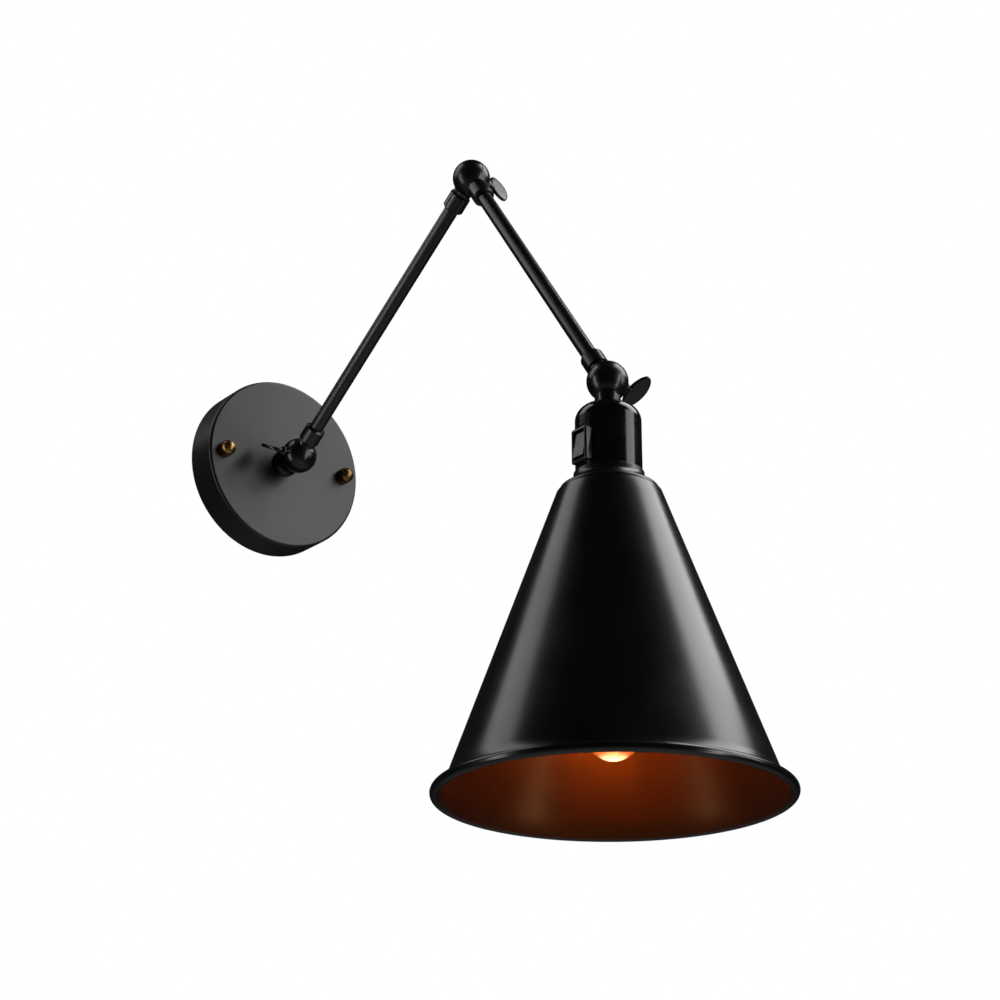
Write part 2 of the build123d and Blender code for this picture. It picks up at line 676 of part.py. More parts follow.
def make_shade():
    """Spun steel cone with a flat top, held on the holder, and a bead rolled outwards at its rim."""
    top = FITTER_BOTTOM + SLIP
    with BuildPart() as shade:
        with BuildSketch(link_plane(SHADE_BALL, DOWN)):
            with BuildLine():
                Polyline(
                    (top, HOLDER_RADIUS + SLIP),
                    (top, SHADE_TOP_RADIUS),
                    (SHADE_CONE_BOTTOM, SHADE_BOTTOM_RADIUS),
                    (BEAD_REACH - BEAD_RADIUS / 2, BEAD_CIRCLE_RADIUS - BEAD_OVERLAP),
                    (BEAD_REACH + BEAD_RADIUS / 2, BEAD_CIRCLE_RADIUS - BEAD_OVERLAP),
                    (BEAD_REACH - SHADE_WALL, SHADE_BOTTOM_RADIUS - SHADE_WALL),
                    (SHADE_CONE_BOTTOM, SHADE_BOTTOM_RADIUS - SHADE_WALL),
                    (top + SHADE_WALL, SHADE_TOP_RADIUS - SHADE_WALL),
                    (top + SHADE_WALL, HOLDER_RADIUS + SLIP),
                    close=True,
                )
            make_face()
            with Locations((BEAD_REACH, BEAD_CIRCLE_RADIUS)):
                Circle(BEAD_RADIUS)
        revolve(axis=Axis(SHADE_BALL, DOWN))
        top_ring = shade.edges().group_by(Axis.Z)[-1].sort_by(SortBy.RADIUS)[-1]
        fillet(top_ring, SHADE_TOP_ROUND)
    save(shade, "shade")


def make_shade_ring():
    """The threaded ring on the holder that clamps the shade up against the fitter."""
    start = FITTER_BOTTOM + 2 * SLIP + SHADE_WALL
    with BuildPart() as ring:
        with BuildSketch(cross_plane(SHADE_BALL, DOWN, start)):
            Circle(RING_RADIUS)
            Circle(HOLDER_RADIUS, mode=Mode.SUBTRACT)
            with PolarLocations(RING_RADIUS, RING_NOTCHES):
                Circle(RING_NOTCH_RADIUS, mode=Mode.SUBTRACT)
        extrude(amount=RING_THICKNESS)
    save(ring, "shade_ring")


# ---------------------------------------------------------------- bulb
def make_bulb_cap():
    """The bulb's brass screw cap, with thread ridges and a raised contact."""
    root = CAP_RADIUS - CAP_RIDGE
    start = CAP_TOP + CAP_SHOULDER
    points = [(CAP_TOP, 0), (CAP_TOP, CONTACT_RADIUS), (start, root)]
    for turn in range(CAP_TURNS):
        foot = start + CAP_PITCH * turn
        points += [(foot + CAP_PITCH / 2, CAP_RADIUS), (foot + CAP_PITCH, root)]
    points += [(CAP_BOTTOM, root), (CAP_BOTTOM, 0)]
    with BuildPart() as cap:
        with BuildSketch(link_plane(SHADE_BALL, DOWN)):
            with BuildLine():
                Polyline(*points, close=True)
            make_face()
        revolve(axis=Axis(SHADE_BALL, DOWN))
    save(cap, "bulb_cap")


def glass_solid_profile(wall):
    """Half of the pear-shaped bulb, drawn in by a wall thickness, closed along the axis."""
    start = CAP_BOTTOM + SLIP + wall
    neck = GLASS_NECK_RADIUS - wall
    tip = GLASS_TIP_RADIUS - wall
    tip_centre = GLASS_TIP - GLASS_TIP_RADIUS
    turn = radians(GLASS_TIP_TURN)
    with BuildSketch(link_plane(SHADE_BALL, DOWN)) as profile:
        with BuildLine():
            Line((start, 0), (start, neck))
            Spline(
                (start, neck),
                (GLASS_NECK_END, neck + 1.2),
                (GLASS_WIDEST, GLASS_RADIUS - wall),
                (tip_centre + tip * cos(turn), tip * sin(turn)),
                tangents=((1, 0), (sin(turn), -cos(turn))),
            )
            CenterArc((tip_centre, 0), tip, 0, GLASS_TIP_TURN)
            Line((tip_centre + tip, 0), (start, 0))
        make_face()
    return profile.sketch


def make_bulb_glass():
    """The clear glass of the bulb, hollow."""
    with BuildPart() as glass:
        revolve(glass_solid_profile(0.0), axis=Axis(SHADE_BALL, DOWN))
        revolve(glass_solid_profile(GLASS_WALL), axis=Axis(SHADE_BALL, DOWN), mode=Mode.SUBTRACT)
    save(glass, "bulb_glass")


def make_bulb_stem():
    """The glass pillar inside the bulb that carries the filament."""
    start = CAP_BOTTOM + SLIP + GLASS_WALL
    with BuildPart() as stem:
        with BuildSketch(link_plane(SHADE_BALL, DOWN)):
            with BuildLine():
                Polyline(
                    (start, 0),
                    (start, 7.0),
                    (start + 4, 6.0),
                    (start + 12, 3.0),
                    (FILAMENT_TOP - 1, 2.4),
                    (FILAMENT_BOTTOM - 2, 1.6),
                    (FILAMENT_BOTTOM - 2, 0),
                    close=True,
                )
            make_face()
        revolve(axis=Axis(SHADE_BALL, DOWN))
    save(stem, "bulb_stem")


def make_filament():
    """A cage of fine filament strands that slant down and out round the pillar."""
    with BuildPart() as filament:
        for strand in range(FILAMENT_STRANDS):
            angle = radians(360 / FILAMENT_STRANDS * strand)
            sideways = Vector(cos(angle), sin(angle), 0)
            upper = SHADE_BALL + DOWN * FILAMENT_TOP + sideways * FILAMENT_TOP_CIRCLE
            lower = SHADE_BALL + DOWN * FILAMENT_BOTTOM + sideways * FILAMENT_BOTTOM_CIRCLE
            run = lower - upper
            with BuildSketch(Plane(origin=upper, z_dir=run)):
                Circle(FILAMENT_RADIUS)
            extrude(amount=run.length)
    save(filament, "filament")


def main():
    os.makedirs("parts", exist_ok=True)
    make_canopy()
    make_mounting_bracket()
    make_canopy_studs()
    make_canopy_nuts()
    make_ground_screw()
    make_stem()
    make_arm("lower", WALL_BALL, ELBOW_BALL, LOWER_DIRECTION, (LEFT, LEFT), (LEFT, RIGHT))
    make_arm("upper", ELBOW_BALL, SHADE_BALL, UPPER_DIRECTION, (RIGHT, RIGHT), (RIGHT, RIGHT))
    wings = ((WALL_BALL, LEFT), (ELBOW_BALL, RIGHT), (SHADE_BALL, RIGHT))
    for number, ((ball, side), elevation) in enumerate(zip(wings, WING_ELEVATIONS), start=1):
        make_wing_screw(number, ball, side, arm_direction(elevation))
    make_head_knuckle()
    make_hex_nut("head_locknut", SHADE_BALL, DOWN, CUP_TOP + CUP_WALL, NIPPLE_RADIUS)
    make_socket_cup()
    make_switch_bezel()
    make_switch_housing()
    make_rocker()
    make_lampholder()
    shell_start = HOLDER_FLOOR + SHELL_MARGIN
    shell_end = HOLDER_BOTTOM - SHELL_MARGIN
    make_sleeve(
        "screw_shell", SHADE_BALL, DOWN, shell_start, shell_end, SHELL_BORE_RADIUS, SHELL_RADIUS
    )
    make_centre_contact()
    make_fitter()
    make_shade()
    make_shade_ring()
    make_bulb_cap()
    make_bulb_glass()
    make_bulb_stem()
    make_filament()


main()
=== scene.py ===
import json
import math

import bmesh
import bpy
import numpy as np
from bpy.props import FloatProperty, FloatVectorProperty, IntProperty, PointerProperty
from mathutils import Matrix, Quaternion, Vector

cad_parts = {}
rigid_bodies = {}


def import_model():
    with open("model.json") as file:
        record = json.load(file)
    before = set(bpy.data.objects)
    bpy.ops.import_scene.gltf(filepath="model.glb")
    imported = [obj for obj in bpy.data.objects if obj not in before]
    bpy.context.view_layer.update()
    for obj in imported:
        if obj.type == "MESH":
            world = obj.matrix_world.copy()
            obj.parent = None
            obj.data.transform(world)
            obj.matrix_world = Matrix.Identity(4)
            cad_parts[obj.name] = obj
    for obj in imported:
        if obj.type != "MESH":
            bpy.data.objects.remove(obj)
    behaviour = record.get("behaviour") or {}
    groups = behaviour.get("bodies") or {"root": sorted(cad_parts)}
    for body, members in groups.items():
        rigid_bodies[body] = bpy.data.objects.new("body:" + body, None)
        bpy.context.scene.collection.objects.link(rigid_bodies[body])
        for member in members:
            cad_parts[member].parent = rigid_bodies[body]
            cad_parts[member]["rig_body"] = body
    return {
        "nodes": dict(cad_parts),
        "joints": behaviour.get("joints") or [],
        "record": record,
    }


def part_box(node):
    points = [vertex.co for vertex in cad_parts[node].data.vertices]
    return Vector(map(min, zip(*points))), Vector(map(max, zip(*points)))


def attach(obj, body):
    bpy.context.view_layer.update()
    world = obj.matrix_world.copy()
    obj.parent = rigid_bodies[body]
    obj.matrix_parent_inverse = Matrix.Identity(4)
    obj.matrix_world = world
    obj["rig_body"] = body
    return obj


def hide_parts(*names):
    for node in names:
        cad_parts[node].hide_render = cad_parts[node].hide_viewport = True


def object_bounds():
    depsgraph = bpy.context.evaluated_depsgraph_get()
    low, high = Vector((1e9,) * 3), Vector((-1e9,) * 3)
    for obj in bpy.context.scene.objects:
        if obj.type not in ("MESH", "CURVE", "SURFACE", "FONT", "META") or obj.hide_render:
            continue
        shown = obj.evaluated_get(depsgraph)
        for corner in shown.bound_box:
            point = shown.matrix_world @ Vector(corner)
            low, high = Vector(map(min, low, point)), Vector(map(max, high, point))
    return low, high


bl_info = {
    "name": "Swing Arm Wall Sconce",
    "version": (1, 0, 0),
    "blender": (4, 5, 0),
    "location": "View3D > Sidebar > Sconce",
    "description": "Shade, fitter, bulb, wing screws, threads and finishes of a swing arm wall sconce",
    "category": "Object",
}

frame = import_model()
CAD_LOW, CAD_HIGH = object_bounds()

# +Z is up, the wall is Y = 0 and the lamp stands out along -Y. Every size below is in metres.
JOINTS = {joint["name"]: joint for joint in frame["joints"]}
WALL_BALL = np.array(JOINTS["wall_hinge"]["pos_m"])
ELBOW_BALL = np.array(JOINTS["elbow_hinge"]["pos_m"])
SHADE_BALL = np.array(JOINTS["shade_hinge"]["pos_m"])
DOWN = np.array((0.0, 0.0, -1.0))
OUT = np.array((0.0, -1.0, 0.0))
TO_WALL = np.array((0.0, 1.0, 0.0))
SIDEWAYS = np.array((1.0, 0.0, 0.0))
MM = 0.001

# Points nearer than these are one point. Edges sharper than these, in degrees, stay sharp.
MERGE, CAD_MERGE = 1e-7, 1e-6
CREASE, CAD_CREASE = 34.0, 28.0

# The record's slot of every CAD node, the two nodes with a finish of their own, and the finishes.
SLOTS = {entry["node"]: entry["material_slot"] for entry in frame["record"]["subparts"]}
NODE_FINISH = {"canopy": "canopy_satin", "socket_cup": "cup_gloss"}
FINISHES = {}


# ---------------------------------------------------------------- curves of a profile
def line(start, end, steps=2):
    """Points evenly spaced on the straight line from start to end, both ends included."""
    share = np.linspace(0.0, 1.0, steps)[:, None]
    return np.array(start) * (1 - share) + np.array(end) * share


def arc(centre, radius, start, end, steps=10):
    """Points on a circle: the centre plus radius times (cosine, sine) of an angle in degrees that
    runs evenly from start to end."""
    angle = np.radians(np.linspace(start, end, steps))
    return np.array(centre) + radius * np.stack([np.cos(angle), np.sin(angle)], -1)


def bend(*controls, steps=14):
    """A Bezier curve of three or four control points: each point is the sum of the controls, weighted
    by the Bernstein polynomials of a share that runs from 0 to 1."""
    share = np.linspace(0.0, 1.0, steps)[:, None]
    order = len(controls) - 1
    weights = [
        math.comb(order, k) * share**k * (1 - share) ** (order - k) for k in range(order + 1)
    ]
    return sum(weight * np.array(control) for weight, control in zip(weights, controls))


def joined(*runs):
    """One profile from several runs of points, without the points that stand on the one before."""
    points = np.concatenate(runs)
    step = np.linalg.norm(np.diff(points, axis=0), axis=1)
    return points[np.concatenate([[True], step > MERGE])]


# ---------------------------------------------------------------- surfaces
def grid_faces(rows, columns, closed):
    """The quads of a grid whose columns wrap round, and whose rows wrap round too if closed. Quad
    (i, j) joins the points (i, j), (i + 1, j), (i + 1, j + 1) and (i, j + 1)."""
    i, j = np.meshgrid(np.arange(rows if closed else rows - 1), np.arange(columns), indexing="ij")
    below, beside = (i + 1) % rows, (j + 1) % columns
    corners = [i * columns + j, below * columns + j, below * columns + beside, i * columns + beside]
    return np.stack(corners, -1).reshape(-1, 4)


def turned(along, radius, columns, start, axis, closed=False, aside=SIDEWAYS):
    """A surface of turning. Point (i, j) is start + along_i * axis + r_ij * (cosine * aside + sine *
    third direction) of the angle 2 pi j / columns. The radius may differ with the angle."""
    angle = np.linspace(0.0, 2 * math.pi, columns, endpoint=False)
    third = np.cross(axis, aside)
    radius = radius if radius.ndim == 2 else np.repeat(radius[:, None], columns, 1)
    round_part = np.cos(angle)[:, None] * aside + np.sin(angle)[:, None] * third
    points = start + along[:, None, None] * axis + radius[:, :, None] * round_part
    return points.reshape(-1, 3), grid_faces(len(along), columns, closed)


def turned_profile(profile, columns, start, axis, closed=False):
    """A surface of turning from a profile of (distance along the axis, radius)."""
    return turned(profile[:, 0], profile[:, 1], columns, start, axis, closed)


def threaded_radius(along, columns, crest, ridge, pitch, fade):
    """The radius of a helical thread: the crest less a ridge times half of (1 - cosine of the phase).
    The phase is 2 pi along / pitch less the angle, and the ridge fades out near both ends."""
    angle = np.linspace(0.0, 2 * math.pi, columns, endpoint=False)
    phase = 2 * math.pi * along[:, None] / pitch - angle
    end_gap = np.minimum(along - along.min(), along.max() - along)
    depth = ridge * np.clip(end_gap / fade, 0.0, 1.0)[:, None]
    return crest - ridge / 2 + depth * np.cos(phase) / 2


def swept(path, radius, columns, sides):
    """A round wire: at each point of the path, a circle square to the path's direction. sides is a
    rough sideways direction at each point, which the circle is squared up from."""
    along = np.gradient(path, axis=0)
    along /= np.linalg.norm(along, axis=1, keepdims=True)
    second = np.cross(along, sides)
    second /= np.linalg.norm(second, axis=1, keepdims=True)
    first = np.cross(second, along)
    angle = np.linspace(0.0, 2 * math.pi, columns, endpoint=False)
    ring = np.cos(angle)[None, :, None] * first[:, None] + np.sin(angle)[None, :, None] * second[:, None]
    body = path[:, None] + radius * ring
    ends = np.repeat(path[[0, -1], None], columns, 1)
    points = np.concatenate([ends[:1], body, ends[1:]])
    return points.reshape(-1, 3), grid_faces(len(points), columns, False)


def leaf(centre, long_axis, wide_axis, half_length, half_width, thickness):
    """A flat oval leaf with round edges, as a superellipsoid. Round the leaf, the outline is the
    ellipse with its width drawn in a little near the tips. Through it, the distance out is the
    cosine of a latitude to the power 0.3, and the height is its sine to the power 0.45."""
    columns = 96
    latitude = np.linspace(-math.pi / 2, math.pi / 2, 33)
    angle = np.linspace(0.0, 2 * math.pi, columns, endpoint=False)
    spread = np.cos(latitude).clip(0.0) ** 0.3
    height = np.sign(latitude) * np.abs(np.sin(latitude)) ** 0.45 * thickness / 2
    length = half_length * np.cos(angle)
    width = half_width * np.sin(angle) * (0.82 + 0.18 * np.abs(np.sin(angle)))
    outline = length[:, None] * long_axis + width[:, None] * wide_axis
    thin_axis = np.cross(long_axis, wide_axis)
    points = centre + spread[:, None, None] * outline + height[:, None, None] * thin_axis
    return points.reshape(-1, 3), grid_faces(len(latitude), columns, False)


def add_piece(name, *surfaces, crease=CREASE):
    """One object from closed surfaces. Points that stand on each other at a pole are merged, each
    surface is turned so that its faces point outwards, and edges sharper than crease stay sharp."""
    merged = bmesh.new()
    for points, faces in surfaces:
        loose = bpy.data.meshes.new("loose")
        loose.from_pydata(points, [], faces)
        shell = bmesh.new()
        shell.from_mesh(loose)
        bmesh.ops.remove_doubles(shell, verts=shell.verts, dist=MERGE)
        if shell.calc_volume(signed=True) < 0:
            bmesh.ops.reverse_faces(shell, faces=shell.faces)
        shell.to_mesh(loose)
        shell.free()
        merged.from_mesh(loose)
        bpy.data.meshes.remove(loose)
    mesh = bpy.data.meshes.new(name)
    merged.to_mesh(mesh)
    merged.free()
    mesh.shade_smooth()
    mesh.set_sharp_from_angle(angle=math.radians(crease))
    piece = bpy.data.objects.new(name, mesh)
    bpy.context.scene.collection.objects.link(piece)
    return piece


def finish_for(node):
    """The finish of one CAD node: its own, or its slot's."""
    return FINISHES[NODE_FINISH.get(node, SLOTS[node])]


def settle(piece, node):
    """The piece takes the place, the body and the finish of a CAD node."""
    piece.data.materials.append(finish_for(node))
    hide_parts(node)
    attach(piece, frame["nodes"][node]["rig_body"])


def smooth_copy(node):
    """A copy of a CAD node with its loose triangles joined, so that its round faces catch the light
    smoothly. Large flat faces keep their own normals beside a round edge."""
    merged = bmesh.new()
    merged.from_mesh(frame["nodes"][node].data)
    bmesh.ops.remove_doubles(merged, verts=merged.verts, dist=CAD_MERGE)
    mesh = bpy.data.meshes.new(f"{node}_smooth")
    merged.to_mesh(mesh)
    merged.free()
    mesh.shade_smooth()
    mesh.set_sharp_from_angle(angle=math.radians(CAD_CREASE))
    piece = bpy.data.objects.new(f"{node}_smooth", mesh)
    bpy.context.scene.collection.objects.link(piece)
    weighted = piece.modifiers.new("even normals", "WEIGHTED_NORMAL")
    weighted.mode = "FACE_AREA_WITH_ANGLE"
    weighted.keep_sharp = True
    settle(piece, node)


# ---------------------------------------------------------------- sizes and colours
SHADE_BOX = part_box("shade")
GLASS_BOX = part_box("bulb_glass")

# The cone's foot against the bead's centre, the inner lip's overlap, and the bead's two ends.
FOOT_ABOVE_BEAD, FOOT_INSIDE_BEAD = 2.0 * MM, 3.3 * MM
LIP_OVERLAP = 1.0 * MM
BEAD_ENDS = (-158.0, 152.0)

# The round end of the glass, and how far down from its neck it is widest.
TIP_RADIUS = 14.0 * MM
WIDEST_REACH = 67.0 * MM

# Each wing screw's ball, the side that it stands on and its leaf's tilt in degrees.
WINGS = ((WALL_BALL, -1.0, -27.0), (ELBOW_BALL, 1.0, -63.0), (SHADE_BALL, 1.0, 26.0))

# The leaf's middle from the ball's centre, and its half length, half width and thickness.
BLADE_REACH, BLADE_SIZE = 20.0 * MM, (11.0 * MM, 5.6 * MM, 2.4 * MM)

# Profiles of a wing screw's boss and shank, as (distance out from the ball's centre, radius).
BOSS = MM * joined(
    line((10.86, 0.0), (10.86, 2.9)),
    bend((10.86, 2.9), (11.0, 3.1), (11.4, 3.1), steps=6),
    bend((11.4, 3.1), (13.2, 3.0), (13.8, 1.9), steps=10),
    bend((13.8, 1.9), (14.6, 1.5), (16.6, 1.6), steps=10),
    line((17.0, 1.2), (17.0, 0.0)),
)
SHANK = MM * joined(
    line((-7.9, 0.0), (-7.9, 1.6)), line((-7.5, 2.0), (10.9, 2.0), 4), line((10.9, 2.0), (10.9, 0.0))
)

# Name, azimuth and elevation in degrees, distance, width and height in metres, and watts.
SOFTBOXES = (
    ("key softbox", 37.0, 12.0, 1.35, 0.75, 0.8, 5.5),
    ("left strip", -109.0, -6.0, 1.3, 0.2, 1.3, 4.5),
    ("right strip", 20.0, -11.0, 1.3, 0.16, 1.2, 3.6),
    ("high right", 60.0, 47.0, 1.3, 0.75, 0.9, 10.0),
    ("high left", -139.0, 46.0, 1.3, 0.6, 0.9, 3.0),
)


class SconceShadeSizes(bpy.types.PropertyGroup):
    """Sizes of the shade and of the fitter above it."""

    rim_radius: FloatProperty(
        name="Rim radius",
        description="Outside of the rolled bead",
        default=(SHADE_BOX[1].y - SHADE_BOX[0].y) / 2,
        unit="LENGTH",
    )
    neck_radius: FloatProperty(
        name="Neck radius",
        description="Outside of the cone at its top",
        default=26.9 * MM,
        unit="LENGTH",
    )
    bead_radius: FloatProperty(
        name="Bead radius", description="Section of the rolled bead", default=2.6 * MM, unit="LENGTH"
    )
    wall: FloatProperty(
        name="Wall", description="Thickness of the spun sheet", default=0.9 * MM, unit="LENGTH"
    )
    hole_radius: FloatProperty(
        name="Hole radius", description="Hole for the holder", default=16.1 * MM, unit="LENGTH"
    )
    shoulder: FloatProperty(
        name="Shoulder", description="Round where the top meets the cone", default=0.8 * MM, unit="LENGTH"
    )


class SconceBulbSizes(bpy.types.PropertyGroup):
    """Sizes of the bulb, its cap and its filament."""

    pear_radius: FloatProperty(
        name="Pear radius", description="The glass at its widest", default=31.9 * MM, unit="LENGTH"
    )
    neck_radius: FloatProperty(
        name="Neck radius", description="The glass at its cap", default=12.6 * MM, unit="LENGTH"
    )
    glass_wall: FloatProperty(
        name="Glass wall", description="Thickness of the glass", default=0.8 * MM, unit="LENGTH"
    )
    cap_pitch: FloatProperty(
        name="Cap pitch", description="Pitch of the cap's rolled thread", default=3.6 * MM, unit="LENGTH"
    )
    strands: IntProperty(
        name="Strands", description="Upright runs of the filament", default=16, min=4, max=40
    )
    filament_radius: FloatProperty(
        name="Filament radius", description="Radius of the strand", default=0.3 * MM, unit="LENGTH"
    )


class SconceFinishes(bpy.types.PropertyGroup):
    """Colours and glow."""

    enamel: FloatVectorProperty(
        name="Enamel", description="Baked black enamel", default=(0.0024, 0.0023, 0.0023), subtype="COLOR"
    )
    enamel_dust: FloatVectorProperty(
        name="Enamel haze",
        description="The enamel where it is a little hazy",
        default=(0.0042, 0.004, 0.0038),
        subtype="COLOR",
    )
    brass: FloatVectorProperty(
        name="Brass", description="Antique brass", default=(0.4, 0.24, 0.08), subtype="COLOR"
    )
    tarnish: FloatVectorProperty(
        name="Tarnish", description="Brass that has darkened", default=(0.09, 0.045, 0.015), subtype="COLOR"
    )
    glow: FloatVectorProperty(
        name="Glow", description="Light of the filament", default=(1.0, 0.25, 0.035), subtype="COLOR"
    )
    glow_power: FloatProperty(
        name="Glow power", description="Light of the filament", default=0.7, unit="POWER"
    )


class SconceStage(bpy.types.PropertyGroup):
    """Floor and camera."""

    camera_place: FloatVectorProperty(
        name="Camera",
        description="Where the camera stands",
        default=(-0.677539, -1.106743, -0.541898),
        subtype="TRANSLATION",
        unit="LENGTH",
    )
    camera_azimuth: FloatProperty(
        name="Azimuth", description="Round the lamp", default=math.radians(-38.089), unit="ROTATION"
    )
    camera_elevation: FloatProperty(
        name="Elevation", description="Above the horizon", default=math.radians(-22.144), unit="ROTATION"
    )
    camera_roll: FloatProperty(
        name="Roll", description="Tilt of the camera", default=math.radians(0.233), unit="ROTATION"
    )
    lens: FloatProperty(
        name="Lens", description="Focal length in mm on a 36 mm sensor", default=78.7, min=1.0
    )
    floor_drop: FloatProperty(
        name="Floor drop", description="From the wall plate down to the floor", default=1.3, unit="LENGTH"
    )


# ---------------------------------------------------------------- shader groups
def add_node(tree, kind, links=None, **settings):
    """A node with its settings, and with sockets set to values or linked from other sockets."""
    made = tree.nodes.new(kind)
    for key, value in settings.items():
        setattr(made, key, value)
    for socket, value in (links or {}).items():
        if isinstance(value, bpy.types.NodeSocket):
            tree.links.new(value, made.inputs[socket])
        else:
            made.inputs[socket].default_value = value
    return made


def new_group(name, inputs, outputs):
    """An empty shader node group with its named sockets, and its two end nodes."""
    tree = bpy.data.node_groups.new(name, "ShaderNodeTree")
    for label, kind, default in inputs:
        socket = tree.interface.new_socket(label, in_out="INPUT", socket_type=kind)
        socket.default_value = default
    for label, kind in outputs:
        tree.interface.new_socket(label, in_out="OUTPUT", socket_type=kind)
    return tree, tree.nodes.new("NodeGroupInput"), tree.nodes.new("NodeGroupOutput")


def finish_group():
    """Haze and texture of a sprayed, moulded or plated skin: a coarse noise mixes the two colours and
    the two roughnesses, and a fine noise is the height of the skin's orange peel."""
    tree, given, out = new_group(
        "sprayed skin",
        [
            ("Clean", "NodeSocketColor", (0.02, 0.02, 0.02, 1)),
            ("Hazy", "NodeSocketColor", (0.03, 0.03, 0.03, 1)),
            ("Haze Scale", "NodeSocketFloat", 30.0),
            ("Peel Scale", "NodeSocketFloat", 900.0),
            ("Smooth", "NodeSocketFloat", 0.2),
            ("Rough", "NodeSocketFloat", 0.3),
        ],
        [("Colour", "NodeSocketColor"), ("Roughness", "NodeSocketFloat"), ("Height", "NodeSocketFloat")],
    )
    place = add_node(tree, "ShaderNodeTexCoord").outputs["Object"]
    haze = add_node(
        tree,
        "ShaderNodeTexNoise",
        {"Vector": place, "Scale": given.outputs["Haze Scale"], "Detail": 5.0, "Roughness": 0.62},
    )
    share = add_node(
        tree, "ShaderNodeMapRange", {"Value": haze.outputs["Fac"], "From Min": 0.38, "From Max": 0.66}
    ).outputs["Result"]
    colour = add_node(
        tree,
        "ShaderNodeMix",
        {"Factor": share, 6: given.outputs["Clean"], 7: given.outputs["Hazy"]},
        data_type="RGBA",
    )
    rough = add_node(
        tree,
        "ShaderNodeMapRange",
        {"Value": share, "To Min": given.outputs["Smooth"], "To Max": given.outputs["Rough"]},
    )
    peel = add_node(
        tree,
        "ShaderNodeTexNoise",
        {"Vector": place, "Scale": given.outputs["Peel Scale"], "Detail": 2.0, "Roughness": 0.5},
    )
    tree.links.new(colour.outputs[2], out.inputs["Colour"])
    tree.links.new(rough.outputs["Result"], out.inputs["Roughness"])
    tree.links.new(peel.outputs["Fac"], out.inputs["Height"])
    return tree


def spun_group():
    """Fine rings left by a spinning tool: a noise of the distance from an axis, which is the length
    of the cross product of the axis and the way from a point on it."""
    tree, given, out = new_group(
        "spun rings",
        [
            ("Centre", "NodeSocketVector", (0, 0, 0)),
            ("Axis", "NodeSocketVector", (0, 0, 1)),
            ("Rings", "NodeSocketFloat", 1400.0),
        ],
        [("Height", "NodeSocketFloat")],
    )
    place = add_node(tree, "ShaderNodeTexCoord").outputs["Object"]
    way = add_node(tree, "ShaderNodeVectorMath", {0: place, 1: given.outputs["Centre"]}, operation="SUBTRACT")
    across = add_node(
        tree, "ShaderNodeVectorMath", {0: way.outputs[0], 1: given.outputs["Axis"]}, operation="CROSS_PRODUCT"
    )
    distance = add_node(tree, "ShaderNodeVectorMath", {0: across.outputs[0]}, operation="LENGTH")
    ringed = add_node(
        tree,
        "ShaderNodeTexNoise",
        {"W": distance.outputs["Value"], "Scale": given.outputs["Rings"], "Detail": 2.0},
        noise_dimensions="1D",
    )
    tree.links.new(ringed.outputs["Fac"], out.inputs["Height"])
    return tree


def grain_group():
    """Drawn grain in plated or rolled metal: a noise stretched along one direction."""
    tree, given, out = new_group(
        "drawn grain",
        [("Stretch", "NodeSocketVector", (40, 900, 900))],
        [("Height", "NodeSocketFloat")],
    )
    place = add_node(tree, "ShaderNodeTexCoord").outputs["Object"]
    stretched = add_node(
        tree, "ShaderNodeVectorMath", {0: place, 1: given.outputs["Stretch"]}, operation="MULTIPLY"
    )
    grain = add_node(
        tree, "ShaderNodeTexNoise", {"Vector": stretched.outputs[0], "Scale": 1.0, "Detail": 3.0}
    )
    tree.links.new(grain.outputs["Fac"], out.inputs["Height"])
    return tree


# ---------------------------------------------------------------- materials
def place_group(tree, group, values):
    """A group in a material's tree, with its own values."""
    made = tree.nodes.new("ShaderNodeGroup")
    made.node_tree = group
    for socket, value in values.items():
        made.inputs[socket].default_value = value
    return made


def coated(name, clean, hazy, smooth, rough, peel=(900.0, 0.02), haze=30.0, extra=None, **sockets):
    """A skin with haze and peel. peel is the scale and the depth in millimetres, extra is a group of
    marks with its values and its depth, and sockets are the shader's own constant values."""
    material = bpy.data.materials.new(name)
    material.use_nodes = True
    tree = material.node_tree
    shader = tree.nodes["Principled BSDF"]
    skin = place_group(
        tree,
        bpy.data.node_groups["sprayed skin"],
        {
            "Clean": (*clean, 1.0),
            "Hazy": (*hazy, 1.0),
            "Haze Scale": haze,
            "Peel Scale": peel[0],
            "Smooth": smooth,
            "Rough": rough,
        },
    )
    tree.links.new(skin.outputs["Colour"], shader.inputs["Base Color"])
    tree.links.new(skin.outputs["Roughness"], shader.inputs["Roughness"])
    bump = add_node(
        tree, "ShaderNodeBump", {"Height": skin.outputs["Height"], "Strength": 0.35, "Distance": peel[1] * MM}
    )
    if extra:
        group, values, depth = extra
        marks = place_group(tree, bpy.data.node_groups[group], values)
        bump = add_node(
            tree,
            "ShaderNodeBump",
            {
                "Height": marks.outputs["Height"],
                "Normal": bump.outputs["Normal"],
                "Strength": 0.35,
                "Distance": depth * MM,
            },
        )
    tree.links.new(bump.outputs["Normal"], shader.inputs["Normal"])
    for socket, value in sockets.items():
        shader.inputs[socket.replace("_", " ")].default_value = value
    return material


